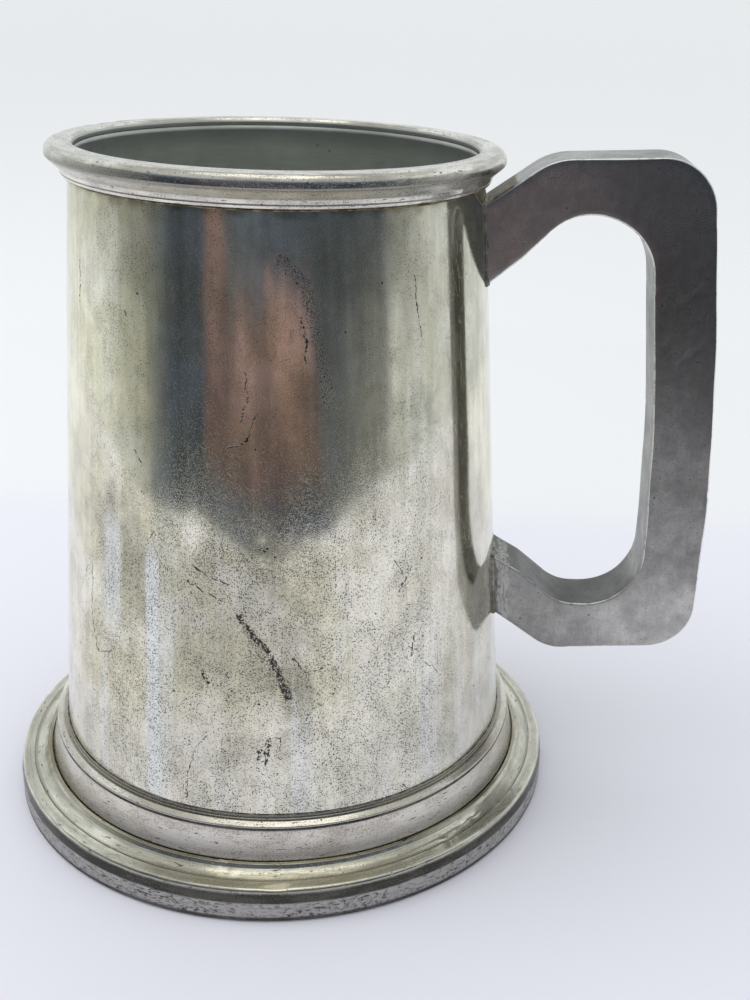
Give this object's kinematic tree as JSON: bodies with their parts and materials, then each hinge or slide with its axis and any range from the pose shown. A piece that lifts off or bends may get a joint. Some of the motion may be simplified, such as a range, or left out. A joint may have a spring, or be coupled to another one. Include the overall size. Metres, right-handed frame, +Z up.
{
  "type": "pewter tankard",
  "caption": "Tapered drinking tankard with a rolled rim, a stepped spreading foot and a flat-sided D handle; rests on its foot ring and holds one imperial pint.",
  "frame": {"origin": "centre of the foot ring's underside, on the drum's axis, on the surface that the tankard stands on", "axes": "+Z up along the drum's axis, +X from the axis towards the handle, +Y completes the right-handed frame"},
  "size_m": [0.1357, 0.108, 0.1264],
  "materials": {
    "pewter_drum": "worn satin pewter with fine dark pits, vertical streaks and scratches",
    "pewter_inside": "dull dark oxidised pewter",
    "pewter_rim": "turned and worn bright pewter",
    "pewter_base": "turned satin pewter, tarnished in its hollows",
    "pewter_foot": "turned pewter, polished on top and scuffed at its edge",
    "pewter_handle": "smooth cast pewter with a brownish grey patina and small pits",
    "solder": "dull tarnished solder with olive brown residue"
  },
  "bodies": {
    "root": {"body_drum": "pewter_drum", "floor_plate": "pewter_inside", "rim_band": "pewter_rim", "base_band": "pewter_base", "foot_ring": "pewter_foot", "handle": "pewter_handle", "rim_solder_seam": "solder", "band_solder_seam": "solder", "foot_solder_seam": "solder", "floor_solder_seam": "solder", "upper_handle_solder": "solder", "lower_handle_solder": "solder"}
  },
  "joints": []
}
